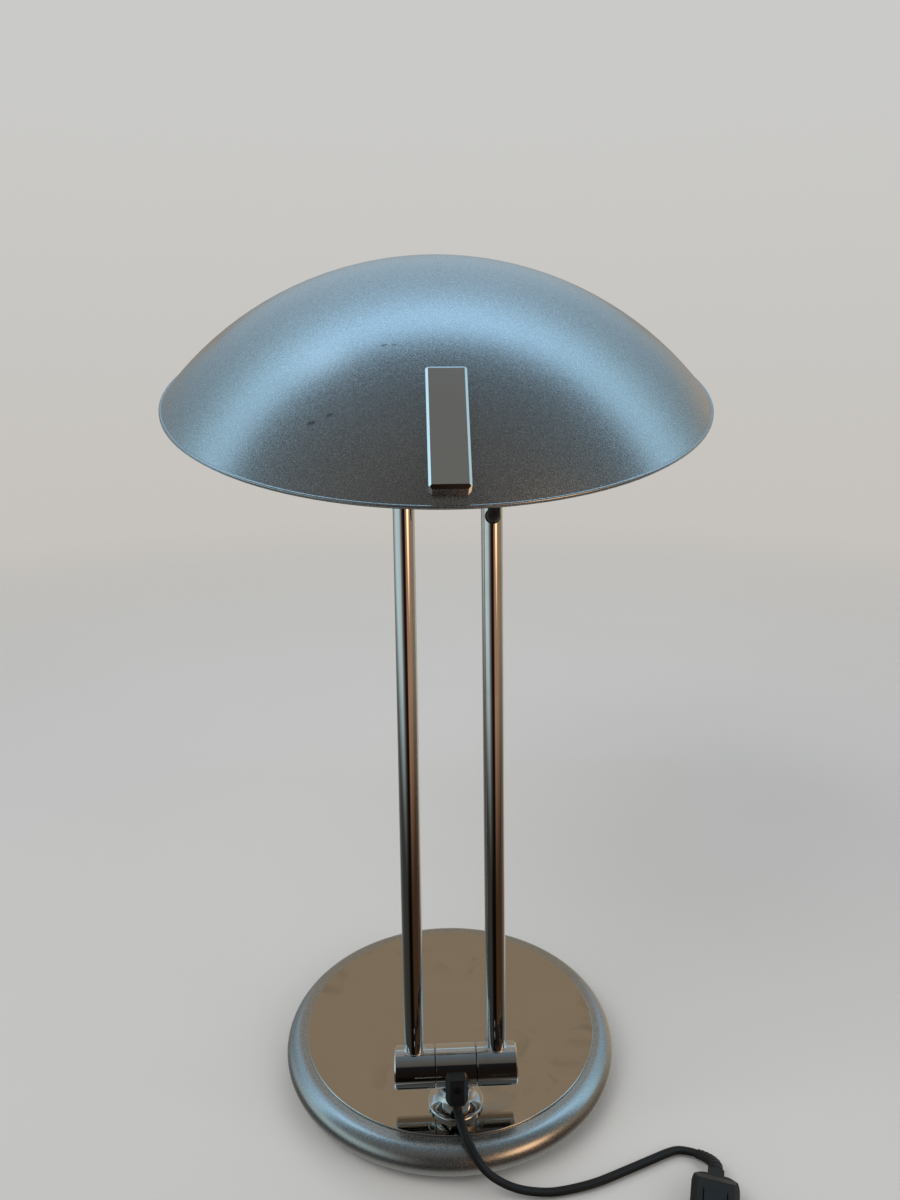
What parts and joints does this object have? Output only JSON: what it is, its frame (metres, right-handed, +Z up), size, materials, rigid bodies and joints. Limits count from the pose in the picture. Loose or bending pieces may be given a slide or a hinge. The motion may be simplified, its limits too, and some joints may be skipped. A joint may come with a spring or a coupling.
{
  "type": "dome shade desk lamp",
  "caption": "Desk lamp with a wide shallow metal dome on a hinged twin-tube arm and a round weighted base that swivels, with a flat cord, inline switch and plug.",
  "frame": {"origin": "centre of the base's underside, on the surface the lamp stands on", "axes": "+Z up, +Y from the stem towards the dome's raised front edge, +X to the lamp's right in the picture, which is along both hinge axes"},
  "size_m": [0.3699, 0.513, 0.5288],
  "materials": {
    "silver_paint": "satin metallic silver-grey paint",
    "polished_chrome": "polished chrome plate",
    "iron": "rough casting",
    "pad_rubber": "soft matte pad",
    "black_rubber": "satin",
    "black_plastic": "satin moulding",
    "black_steel": "blackened",
    "steel": "zinc plated",
    "nylon": "matte",
    "brass": "satin",
    "cream_plastic": "glossy moulding",
    "cap_metal": "bright rolled",
    "bulb_glass": "frosted white",
    "cord_vinyl": "satin flexible vinyl",
    "pin_brass": "nickel plated"
  },
  "bodies": {
    "base": {"base_cover": "silver_paint", "base_plate": "polished_chrome", "ballast": "iron", "base_pad": "pad_rubber", "foot_collar": "polished_chrome", "clamp_washer": "steel", "cord_lead": "cord_vinyl", "switch_base": "black_plastic", "switch_cover": "black_plastic", "switch_screws": "steel", "cord_run": "cord_vinyl", "cord_coil": "cord_vinyl", "cord_tail": "cord_vinyl", "plug_body": "cord_vinyl", "plug_pins": "pin_brass"},
    "stem": {"stem_post": "polished_chrome", "lower_knuckle_center": "polished_chrome", "cord_grip": "black_plastic", "grip_screw": "black_steel", "slip_washer": "nylon", "wave_washer": "steel", "swivel_nut": "steel"},
    "arm": {"lower_knuckle_left": "polished_chrome", "lower_knuckle_right": "polished_chrome", "lower_bolt": "steel", "lower_nut": "steel", "lower_springs": "steel", "lower_washers": "nylon", "lower_caps": "polished_chrome", "tube_left": "polished_chrome", "tube_right": "polished_chrome", "upper_knuckle_left": "polished_chrome", "upper_knuckle_right": "polished_chrome", "upper_bolt": "steel", "upper_nut": "steel", "upper_springs": "steel", "upper_washers": "nylon", "upper_caps": "polished_chrome", "tube_grommet": "black_rubber", "arm_lead": "black_rubber"},
    "head": {"head_block": "polished_chrome", "shade": "silver_paint", "shade_bracket": "polished_chrome", "bracket_screws": "steel", "holder_nipple": "brass", "holder_nut": "brass", "holder_cap": "cream_plastic", "holder_skirt": "cream_plastic", "bulb_cap": "cap_metal", "bulb_glass": "bulb_glass", "head_lead": "black_rubber"},
    "rocker": {"switch_rocker": "black_plastic"}
  },
  "joints": [
    {"name": "base_swivel", "type": "hinge", "parent": "base", "child": "stem", "pos_m": [0, -0.071, 0.0485], "axis": [0, 0, 1], "range_deg": [-45, 45]},
    {"name": "arm_tilt", "type": "hinge", "parent": "stem", "child": "arm", "pos_m": [0, -0.071, 0.0485], "axis": [-1, 0, 0], "range_deg": [-20, 30]},
    {"name": "shade_tilt", "type": "hinge", "parent": "arm", "child": "head", "pos_m": [0, -0.02453, 0.40145], "axis": [1, 0, 0], "range_deg": [-45, 27]},
    {"name": "switch_rocker", "type": "hinge", "parent": "base", "child": "rocker", "pos_m": [0.1347, -0.1461, 0.012], "axis": [0.9367, -0.3502, 0], "range_deg": [-14, 0]}
  ]
}
